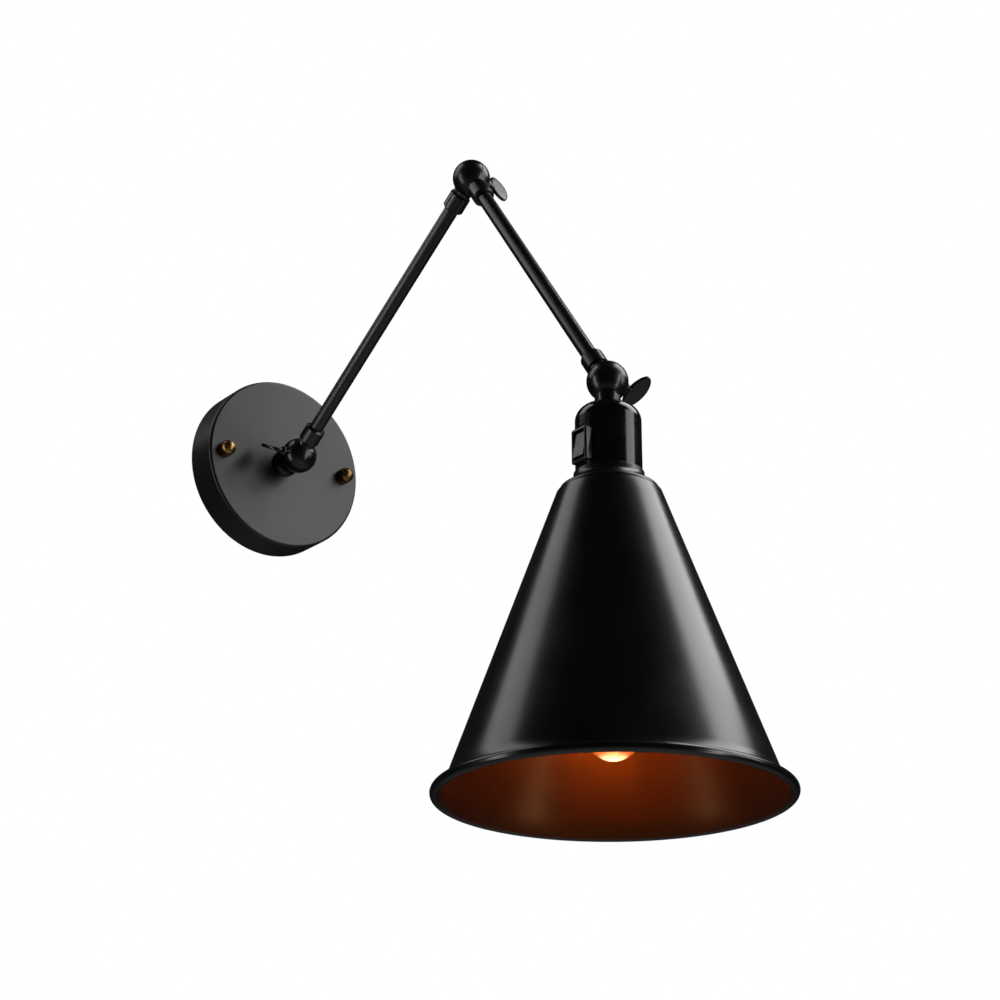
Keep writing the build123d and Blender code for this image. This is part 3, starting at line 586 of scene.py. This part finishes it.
def make_finishes(chosen):
    """Every finish of the lamp, by the record's slot name or by a name of its own."""
    enamel, haze = chosen.enamel, chosen.enamel_dust
    shade_axis = {"Centre": tuple(SHADE_BALL), "Axis": (0, 0, 1), "Rings": 700.0}
    canopy_axis = {"Centre": (0, 0, 0), "Axis": (0, 1, 0), "Rings": 900.0}
    across_x = ("drawn grain", {"Stretch": (60, 1600, 1600)}, 0.02)
    # Colours of the shade's inside: near black with a brown cast that is painted warm glow of the bulb.
    inside = (0.006, 0.0028, 0.0015), (0.008, 0.0038, 0.002)
    zinc = (0.56, 0.56, 0.57), (0.42, 0.42, 0.4)
    finishes = {
        "black_satin": coated(
            "shade enamel", enamel, haze, 0.2, 0.25, (1300, 0.003), 22, ("spun rings", shade_axis, 0.005)
        ),
        # The inside's orange Specular Tint is painted glow: it turns the white reflections of the softboxes
        # orange.
        "shade_inside": coated(
            "matt inside", *inside, 0.34, 0.4, (1300, 0.003), 22, Specular_Tint=(1.0, 0.42, 0.14, 1.0)
        ),
        "canopy_satin": coated(
            "canopy enamel", enamel, haze, 0.34, 0.42, (1300, 0.008), 26, ("spun rings", canopy_axis, 0.01)
        ),
        "cup_gloss": coated("cup enamel", enamel, haze, 0.12, 0.17, (260, 0.001), 60),
        "black_gloss": coated("knuckle enamel", enamel, haze, 0.25, 0.31, (260, 0.001), 60),
        "black_tube": coated("tube enamel", enamel, haze, 0.26, 0.32, (260, 0.001), 45),
        "black_wing": coated("wing enamel", enamel, haze, 0.22, 0.3, (400, 0.006), 70),
        "black_plastic": coated("moulded black", (0.005,) * 3, (0.009,) * 3, 0.26, 0.38, (2200, 0.012), 80),
        "brass": coated(
            "antique brass", chosen.brass, chosen.tarnish, 0.2, 0.42, (900, 0.02), 170, Metallic=1.0
        ),
        "zinc": coated("zinc plate", *zinc, 0.26, 0.42, (1500, 0.015), 90, across_x, Metallic=1.0),
        "ground_green": coated(
            "green plate", (0.03, 0.26, 0.08), (0.02, 0.16, 0.05), 0.3, 0.42, haze=200, Metallic=0.7
        ),
        "wire_cover": coated("wire cover", (0.74, 0.72, 0.66), (0.62, 0.6, 0.54), 0.4, 0.5, haze=120),
        "holder_insulator": coated(
            "glazed porcelain", (0.78, 0.76, 0.7), (0.7, 0.67, 0.6), 0.14, 0.24, (500, 0.03), 60
        ),
        "cap_metal": coated(
            "cap metal", (0.72, 0.66, 0.52), (0.5, 0.42, 0.28), 0.22, 0.38, (1400, 0.015), 150, Metallic=1.0
        ),
    }
    finishes["bulb_glass"] = make_glass()
    finishes["filament"] = make_glowing(chosen)
    return finishes


def make_glass():
    """Clear glass, faintly amber, with a slight unevenness from blowing. It glows most near the bulb's
    axis: the distance from it is the length of the level part of the way from the shade's ball."""
    material = bpy.data.materials.new("bulb glass")
    material.use_nodes = True
    tree = material.node_tree
    shader = tree.nodes["Principled BSDF"]
    shader.inputs["Base Color"].default_value = (1.0, 0.9, 0.76, 1.0)
    shader.inputs["Roughness"].default_value = 0.02
    shader.inputs["IOR"].default_value = 1.47
    shader.inputs["Transmission Weight"].default_value = 1.0
    shader.inputs["Emission Strength"].default_value = 1.5
    place = add_node(tree, "ShaderNodeTexCoord").outputs["Object"]
    way = add_node(tree, "ShaderNodeVectorMath", {0: place, 1: tuple(SHADE_BALL)}, operation="SUBTRACT")
    flat = add_node(
        tree, "ShaderNodeVectorMath", {0: way.outputs[0], 1: (1.0, 1.0, 0.0)}, operation="MULTIPLY"
    )
    distance = add_node(tree, "ShaderNodeVectorMath", {0: flat.outputs[0]}, operation="LENGTH")
    share = add_node(
        tree,
        "ShaderNodeMapRange",
        {"Value": distance.outputs["Value"], "From Min": 1.0 * MM, "From Max": 7.5 * MM},
    )
    warm = add_node(
        tree,
        "ShaderNodeMix",
        {"Factor": share.outputs["Result"], 6: (1.0, 0.66, 0.28, 1.0), 7: (0.14, 0.028, 0.003, 1.0)},
        data_type="RGBA",
    )
    tree.links.new(warm.outputs[2], shader.inputs["Emission Color"])
    ripple = add_node(tree, "ShaderNodeTexNoise", {"Vector": place, "Scale": 60.0, "Detail": 1.0})
    bump = add_node(
        tree, "ShaderNodeBump", {"Height": ripple.outputs["Fac"], "Strength": 0.2, "Distance": 0.1 * MM}
    )
    tree.links.new(bump.outputs["Normal"], shader.inputs["Normal"])
    return material


def make_glowing(chosen):
    """A glowing strand, a little cooler in places."""
    material = bpy.data.materials.new("glowing filament")
    material.use_nodes = True
    tree = material.node_tree
    shader = tree.nodes["Principled BSDF"]
    shader.inputs["Base Color"].default_value = (0.1, 0.05, 0.02, 1.0)
    shader.inputs["Roughness"].default_value = 0.6
    shader.inputs["Emission Strength"].default_value = 45.0
    place = add_node(tree, "ShaderNodeTexCoord").outputs["Object"]
    uneven = add_node(tree, "ShaderNodeTexNoise", {"Vector": place, "Scale": 140.0, "Detail": 2.0})
    glow = add_node(
        tree,
        "ShaderNodeMix",
        {"Factor": uneven.outputs["Fac"], 6: (*chosen.glow, 1.0), 7: (1.0, 0.62, 0.24, 1.0)},
        data_type="RGBA",
    )
    tree.links.new(glow.outputs[2], shader.inputs["Emission Color"])
    return material


# ---------------------------------------------------------------- operators
class SCONCE_OT_finishes(bpy.types.Operator):
    """Make every finish and give each CAD node its own"""

    bl_idname = "sconce.finishes"
    bl_label = "Finishes"

    def execute(self, context):
        finish_group()
        spun_group()
        grain_group()
        FINISHES.update(make_finishes(context.scene.sconce_finishes))
        for name in SLOTS:
            node = frame["nodes"][name]
            if not node.material_slots:
                node.data.materials.append(None)
            node.material_slots[0].material = finish_for(name)
        return {"FINISHED"}


class SCONCE_OT_castings(bpy.types.Operator):
    """Smooth the round faces of every piece that isn't made anew"""

    bl_idname = "sconce.castings"
    bl_label = "Castings and tubes"

    def execute(self, context):
        remade = {"shade", "fitter", "bulb_glass", "bulb_cap", "filament", "stem_nipple", "canopy_studs"}
        remade |= {f"wing_screw_{number}" for number in (1, 2, 3)}
        for node in SLOTS:
            if node not in remade:
                smooth_copy(node)
        return {"FINISHED"}


class SCONCE_OT_shade(bpy.types.Operator):
    """Spin the cone with its round shoulder and its rolled bead"""

    bl_idname = "sconce.shade"
    bl_label = "Shade"

    def execute(self, context):
        sizes = context.scene.sconce_shade
        low, high = SHADE_BOX
        start = np.array((SHADE_BALL[0], SHADE_BALL[1], high.z))
        bead_reach = high.z - low.z - sizes.bead_radius
        bead_centre = (bead_reach, sizes.rim_radius - sizes.bead_radius)
        foot = np.array((bead_reach - FOOT_ABOVE_BEAD, bead_centre[1] - FOOT_INSIDE_BEAD))
        head = np.array((0.0, sizes.neck_radius))
        slope = (foot - head) / np.linalg.norm(foot - head)
        inward = np.array((slope[1], -slope[0])) * sizes.wall
        shoulder = head + slope * sizes.shoulder
        profile = joined(
            line((0.0, sizes.hole_radius), (0.0, sizes.neck_radius - sizes.shoulder)),
            bend((0.0, sizes.neck_radius - sizes.shoulder), head, shoulder, steps=8),
            line(shoulder, foot, 24),
            bead_turn(bead_centre, sizes.bead_radius, *BEAD_ENDS),
            line(foot + inward + slope * LIP_OVERLAP, shoulder + inward, 24),
            line((sizes.wall, sizes.neck_radius - sizes.shoulder), (sizes.wall, sizes.hole_radius)),
        )
        shade = add_piece("shade_spun", turned_profile(profile, 224, start, DOWN, closed=True))
        settle(shade, "shade")
        shade.data.materials.append(FINISHES["shade_inside"])
        self.mark_inside(shade.data)
        return {"FINISHED"}

    def mark_inside(self, mesh):
        """The matt finish, whose warm tint is painted glow of the bulb, goes on the cone's inner wall, where
        a face points at the axis.
        """
        count = len(mesh.polygons)
        middles, normals = np.empty(count * 3), np.empty(count * 3)
        mesh.polygons.foreach_get("center", middles)
        mesh.polygons.foreach_get("normal", normals)
        way = SHADE_BALL - middles.reshape(-1, 3)
        way[:, 2] = 0.0
        facing = (way * normals.reshape(-1, 3)).sum(1) > 0.7 * np.linalg.norm(way, axis=1)
        mesh.polygons.foreach_set("material_index", facing.astype(np.int32))


def bead_turn(centre, radius, start, end):
    """Round the bead from its top to its inner lip. At angle 0 a point stands at the rim's outside,
    and at 90 degrees at its lowest: distance along is the sine, and distance out is the cosine."""
    angle = np.radians(np.linspace(start, end, 40))
    return np.array(centre) + radius * np.stack([np.sin(angle), np.cos(angle)], -1)


class SCONCE_OT_fitter(bpy.types.Operator):
    """Turn the bell-shaped fitter above the shade"""

    bl_idname = "sconce.fitter"
    bl_label = "Fitter"

    def execute(self, context):
        low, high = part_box("fitter")
        start = np.array((SHADE_BALL[0], SHADE_BALL[1], high.z))
        height, skirt = high.z - low.z, (high.y - low.y) / 2
        bore, ring = 16.05 * MM, 18.2 * MM
        ring_foot, crease = 2.55 * MM, 7.95 * MM
        profile = joined(
            line((0.0, bore), (0.0, ring - 0.5 * MM)),
            bend((0.0, ring - 0.5 * MM), (0.0, ring), (0.5 * MM, ring), steps=6),
            line((0.5 * MM, ring), (ring_foot, ring)),
            bend((ring_foot, ring), (6.2 * MM, 19.0 * MM), (crease, 24.0 * MM)),
            bend((crease, 24.0 * MM), (8.7 * MM, skirt), (height - 0.2 * MM, skirt), steps=10),
            line((height, skirt - 0.2 * MM), (height, skirt - 1.2 * MM)),
            line((ring_foot + 1.2 * MM, bore), (ring_foot, bore)),
        )
        fitter = add_piece("fitter_bell", turned_profile(profile, 160, start, DOWN, closed=True))
        settle(fitter, "fitter")
        return {"FINISHED"}


class SCONCE_OT_bulb(bpy.types.Operator):
    """Blow the pear-shaped glass, roll its cap's thread and string its filament"""

    bl_idname = "sconce.bulb"
    bl_label = "Bulb"

    def execute(self, context):
        sizes = context.scene.sconce_bulb
        self.make_glass(sizes)
        self.make_cap(sizes)
        self.make_filament(sizes)
        return {"FINISHED"}

    def make_glass(self, sizes):
        """Outside from the tip back to the neck, then inside from the neck to the tip."""
        low, high = GLASS_BOX
        start = np.array((SHADE_BALL[0], SHADE_BALL[1], high.z))
        outside = self.pear(high.z - low.z, sizes, 0.0)
        inside = self.pear(high.z - low.z, sizes, sizes.glass_wall)
        profile = joined(outside[::-1], inside)
        glass = add_piece("bulb_pear", turned_profile(profile, 128, start, DOWN))
        glass.visible_shadow = False
        settle(glass, "bulb_glass")

    def pear(self, length, sizes, inset):
        """Two Bezier curves from the neck over the widest place, and an arc round the tip."""
        tip_centre, tip_turn = length - TIP_RADIUS, 62.0
        turn = math.radians(tip_turn)
        widest = (WIDEST_REACH, sizes.pear_radius - inset)
        neck = sizes.neck_radius - inset
        shrunk = TIP_RADIUS - inset
        join = np.array((tip_centre + shrunk * math.cos(turn), shrunk * math.sin(turn)))
        slope = np.array((math.sin(turn), -math.cos(turn)))
        return joined(
            bend((0.0, neck), (22.0 * MM, neck), (33.0 * MM, widest[1]), widest, steps=30),
            bend(widest, (87.0 * MM, widest[1]), join - slope * 12.0 * MM, join, steps=20),
            arc((tip_centre, 0.0), shrunk, tip_turn, 0.0, 12),
        )

    def make_cap(self, sizes):
        """A contact, a sloping shoulder and a rolled thread."""
        low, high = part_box("bulb_cap")
        start = np.array((SHADE_BALL[0], SHADE_BALL[1], high.z))
        crest = (high.x - low.x) / 2
        columns, ridge = 96, 0.9 * MM
        length = high.z - low.z
        head = joined(
            bend((0.0, 0.0), (0.0, 4.0 * MM), (0.8 * MM, 4.4 * MM), steps=6),
            bend((0.9 * MM, 4.6 * MM), (1.4 * MM, 11.0 * MM), (2.6 * MM, crest - ridge / 2), steps=8),
        )
        along = np.linspace(2.7 * MM, length - 2.0 * MM, 90)
        thread = threaded_radius(along, columns, crest, ridge, sizes.cap_pitch, 1.8 * MM)
        foot = line((length - 1.9 * MM, crest - ridge / 2), (length, crest - ridge / 2))
        plain = np.concatenate([head, foot])
        steady = np.repeat(plain[:, 1:2], columns, 1)
        radius = np.concatenate([steady[: len(head)], thread, steady[len(head) :], np.zeros((1, columns))])
        distance = np.concatenate([head[:, 0], along, foot[:, 0], [length]])
        cap = add_piece("bulb_cap_thread", turned(distance, radius, columns, start, DOWN))
        settle(cap, "bulb_cap")

    def make_filament(self, sizes):
        """One strand that goes up and down round the pillar: as it goes round, its height is a
        softened triangle wave, and its distance out grows towards the bottom."""
        low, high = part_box("filament")
        turn = np.linspace(0.0, 2 * math.pi * (sizes.strands - 1) / sizes.strands, sizes.strands * 26)
        swing = np.cos(turn * sizes.strands / 2)
        softness = 0.985
        wave = np.arcsin(softness * swing) / math.asin(softness)
        share = (1 + wave) / 2
        top, bottom = high.z - 0.5 * MM, low.z + 0.5 * MM
        top_distance, spread = 6.0 * MM, 4.0 * MM
        distance = top_distance + spread * (1 - share)
        sides = np.stack([np.cos(turn), np.sin(turn), np.zeros_like(turn)], -1)
        path = distance[:, None] * sides
        path[:, 0] += SHADE_BALL[0]
        path[:, 1] += SHADE_BALL[1]
        path[:, 2] = bottom + (top - bottom) * share
        strand = add_piece("filament_strand", swept(path, sizes.filament_radius, 10, sides), crease=80.0)
        settle(strand, "filament")


class SCONCE_OT_wings(bpy.types.Operator):
    """Forge the three wing screws, each a leaf on a waisted boss and a shank"""

    bl_idname = "sconce.wings"
    bl_label = "Wing screws"

    def execute(self, context):
        for number, (ball, side, tilt) in enumerate(WINGS, 1):
            turn = math.radians(tilt)
            long_axis = np.array((0.0, -math.cos(turn), math.sin(turn)))
            out = SIDEWAYS * side
            blade = leaf(ball + out * BLADE_REACH, long_axis, out, *BLADE_SIZE)
            around = np.cross(out, long_axis)
            surfaces = [
                blade,
                turned(BOSS[:, 0], BOSS[:, 1], 48, ball, out, aside=around),
                turned(SHANK[:, 0], SHANK[:, 1], 32, ball, out, aside=around),
            ]
            wing = add_piece(f"wing_leaf_{number}", *surfaces)
            settle(wing, f"wing_screw_{number}")
        return {"FINISHED"}


class SCONCE_OT_threads(bpy.types.Operator):
    """Cut the threads of the nipple and of the two studs behind the canopy"""

    bl_idname = "sconce.threads"
    bl_label = "Threads"

    def execute(self, context):
        self.make_nipple()
        self.make_studs()
        return {"FINISHED"}

    def make_nipple(self):
        """A threaded outside, from end to end, and a plain bore back again."""
        low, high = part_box("stem_nipple")
        start = np.array((WALL_BALL[0], low.y, WALL_BALL[2]))
        length, crest, bore = high.y - low.y, (high.x - low.x) / 2, 3.4 * MM
        columns, ridge, pitch, fade = 64, 0.45 * MM, 0.94 * MM, 0.8 * MM
        along = np.linspace(0.0, length, 240)
        outside = threaded_radius(along, columns, crest, ridge, pitch, fade)
        radius = np.concatenate([outside, np.full((2, columns), bore)])
        distance = np.concatenate([along, [length, 0.0]])
        nipple = add_piece(
            "nipple_thread", turned(distance, radius, columns, start, TO_WALL, closed=True), crease=60.0
        )
        settle(nipple, "stem_nipple")

    def make_studs(self):
        """Two threaded rods with plain ends, at the same distance each side of the middle."""
        low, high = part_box("canopy_studs")
        columns, crest, ridge, pitch, fade = 40, 2.0 * MM, 0.4 * MM, 0.7 * MM, 1.0 * MM
        length = high.y - low.y
        along = np.linspace(0.0, length, 320)
        thread = threaded_radius(along, columns, crest, ridge, pitch, fade)
        radius = np.concatenate([np.zeros((1, columns)), thread, np.zeros((1, columns))])
        distance = np.concatenate([[0.0], along, [length]])
        place = np.array((high.x - crest, 0.0, high.z - crest))
        rods = [turned(distance, radius, columns, place * side, OUT) for side in (-1.0, 1.0)]
        studs = add_piece("stud_threads", *rods, crease=60.0)
        settle(studs, "canopy_studs")


def softbox(name, azimuth, elevation, distance, width, height, power):
    """A rectangular light that stands round the lamp and faces its middle."""
    lamp = bpy.data.lights.new(name, "AREA")
    lamp.shape = "RECTANGLE"
    lamp.size, lamp.size_y = width, height
    lamp.energy = power
    box = bpy.data.objects.new(name, lamp)
    a, e = math.radians(azimuth), math.radians(elevation)
    away = Vector((math.sin(a) * math.cos(e), -math.cos(a) * math.cos(e), math.sin(e)))
    box.location = (CAD_LOW + CAD_HIGH) / 2 + away * distance
    box.rotation_euler = (-away).to_track_quat("-Z", "Y").to_euler()
    box.visible_camera = False
    bpy.context.scene.collection.objects.link(box)


class SCONCE_OT_stage(bpy.types.Operator):
    """Lay the floor, hang the softboxes, light the bulb and stand the camera"""

    bl_idname = "sconce.stage"
    bl_label = "Stage"

    def execute(self, context):
        stage = context.scene.sconce_stage
        self.lay_floor(stage)
        for box in SOFTBOXES:
            softbox(*box)
        self.light_bulb(context.scene.sconce_finishes)
        self.fill_background(context)
        self.stand_camera(context, stage)
        return {"FINISHED"}

    def lay_floor(self, stage):
        """A pale floor, well below the lamp, that the camera sees evenly lit."""
        reach, drop = 8.0, -stage.floor_drop
        mesh = bpy.data.meshes.new("floor")
        corners = [(-reach, -reach, drop), (reach, -reach, drop), (reach, reach, drop), (-reach, reach, drop)]
        mesh.from_pydata(corners, [], [(0, 1, 2, 3)])
        floor = bpy.data.objects.new("floor", mesh)
        bpy.context.scene.collection.objects.link(floor)
        pale = coated("pale floor", (0.8, 0.8, 0.79), (0.76, 0.76, 0.75), 0.6, 0.7, haze=2.0)
        mesh.materials.append(pale)
        tree = pale.node_tree
        seen = add_node(tree, "ShaderNodeLightPath").outputs["Is Camera Ray"]
        lit = add_node(tree, "ShaderNodeMath", {0: seen, 1: 0.8}, operation="MULTIPLY")
        tree.links.new(lit.outputs["Value"], tree.nodes["Principled BSDF"].inputs["Emission Strength"])

    def light_bulb(self, finishes):
        """A small warm light inside the glass, near its round end."""
        low, high = GLASS_BOX
        lamp = bpy.data.lights.new("filament light", "POINT")
        lamp.color = finishes.glow
        lamp.energy = finishes.glow_power
        lamp.shadow_soft_size = 10.0 * MM
        light = bpy.data.objects.new("filament light", lamp)
        light.location = ((low[0] + high[0]) / 2, (low[1] + high[1]) / 2, low[2] + TIP_RADIUS)
        light.visible_transmission = False
        bpy.context.scene.collection.objects.link(light)
        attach(light, "bulb")

    def fill_background(self, context):
        """White behind the lamp, and a soft grey room in its reflections."""
        world = bpy.data.worlds.new("white room")
        world.use_nodes = True
        tree = world.node_tree
        backdrop = tree.nodes["Background"]
        backdrop.inputs["Color"].default_value = (1.0, 1.0, 1.0, 1.0)
        room = add_node(tree, "ShaderNodeBackground", {"Color": (0.9, 0.93, 1.0, 1.0), "Strength": 0.015})
        seen = add_node(tree, "ShaderNodeLightPath").outputs["Is Camera Ray"]
        mixed = add_node(
            tree, "ShaderNodeMixShader", {0: seen, 1: room.outputs[0], 2: backdrop.outputs[0]}
        )
        tree.links.new(mixed.outputs[0], tree.nodes["World Output"].inputs["Surface"])
        context.scene.world = world
        context.scene.view_settings.view_transform = "Standard"

    def stand_camera(self, context, stage):
        """A camera below the lamp, looking up."""
        lens = bpy.data.cameras.new("camera")
        lens.lens = stage.lens
        lens.sensor_width = 36.0
        lens.clip_start = 0.01
        camera = bpy.data.objects.new("camera", lens)
        a, e = stage.camera_azimuth, stage.camera_elevation
        back = Vector((math.sin(a) * math.cos(e), -math.cos(a) * math.cos(e), math.sin(e)))
        camera.rotation_mode = "QUATERNION"
        aim = (-back).to_track_quat("-Z", "Y")
        camera.rotation_quaternion = aim @ Quaternion((0.0, 0.0, 1.0), stage.camera_roll)
        camera.location = stage.camera_place
        context.scene.collection.objects.link(camera)
        context.scene.camera = camera


class SCONCE_PT_sidebar(bpy.types.Panel):
    """The lamp's pieces, sizes and colours"""

    bl_label = "Wall sconce"
    bl_idname = "SCONCE_PT_sidebar"
    bl_space_type = "VIEW_3D"
    bl_region_type = "UI"
    bl_category = "Sconce"

    def draw(self, context):
        for step in STEPS:
            self.layout.operator(step.bl_idname)
        for owner in SETTINGS:
            group = getattr(context.scene, owner)
            column = self.layout.column(align=True)
            for name in group.__annotations__:
                column.prop(group, name)


STEPS = (
    SCONCE_OT_finishes,
    SCONCE_OT_castings,
    SCONCE_OT_shade,
    SCONCE_OT_fitter,
    SCONCE_OT_bulb,
    SCONCE_OT_wings,
    SCONCE_OT_threads,
    SCONCE_OT_stage,
)
SETTINGS = {
    "sconce_shade": SconceShadeSizes,
    "sconce_bulb": SconceBulbSizes,
    "sconce_finishes": SconceFinishes,
    "sconce_stage": SconceStage,
}
CLASSES = (*SETTINGS.values(), *STEPS, SCONCE_PT_sidebar)


def register():
    """Add the classes and the scene's settings."""
    for made in CLASSES:
        bpy.utils.register_class(made)
    for owner, group in SETTINGS.items():
        setattr(bpy.types.Scene, owner, PointerProperty(type=group))


def unregister():
    """Take the settings and the classes away again."""
    for owner in SETTINGS:
        delattr(bpy.types.Scene, owner)
    for made in reversed(CLASSES):
        bpy.utils.unregister_class(made)


def main():
    """Make every piece in order."""
    register()
    bpy.ops.sconce.finishes()
    bpy.ops.sconce.castings()
    bpy.ops.sconce.shade()
    bpy.ops.sconce.fitter()
    bpy.ops.sconce.bulb()
    bpy.ops.sconce.wings()
    bpy.ops.sconce.threads()
    bpy.ops.sconce.stage()


if __name__ == "__main__":
    main()
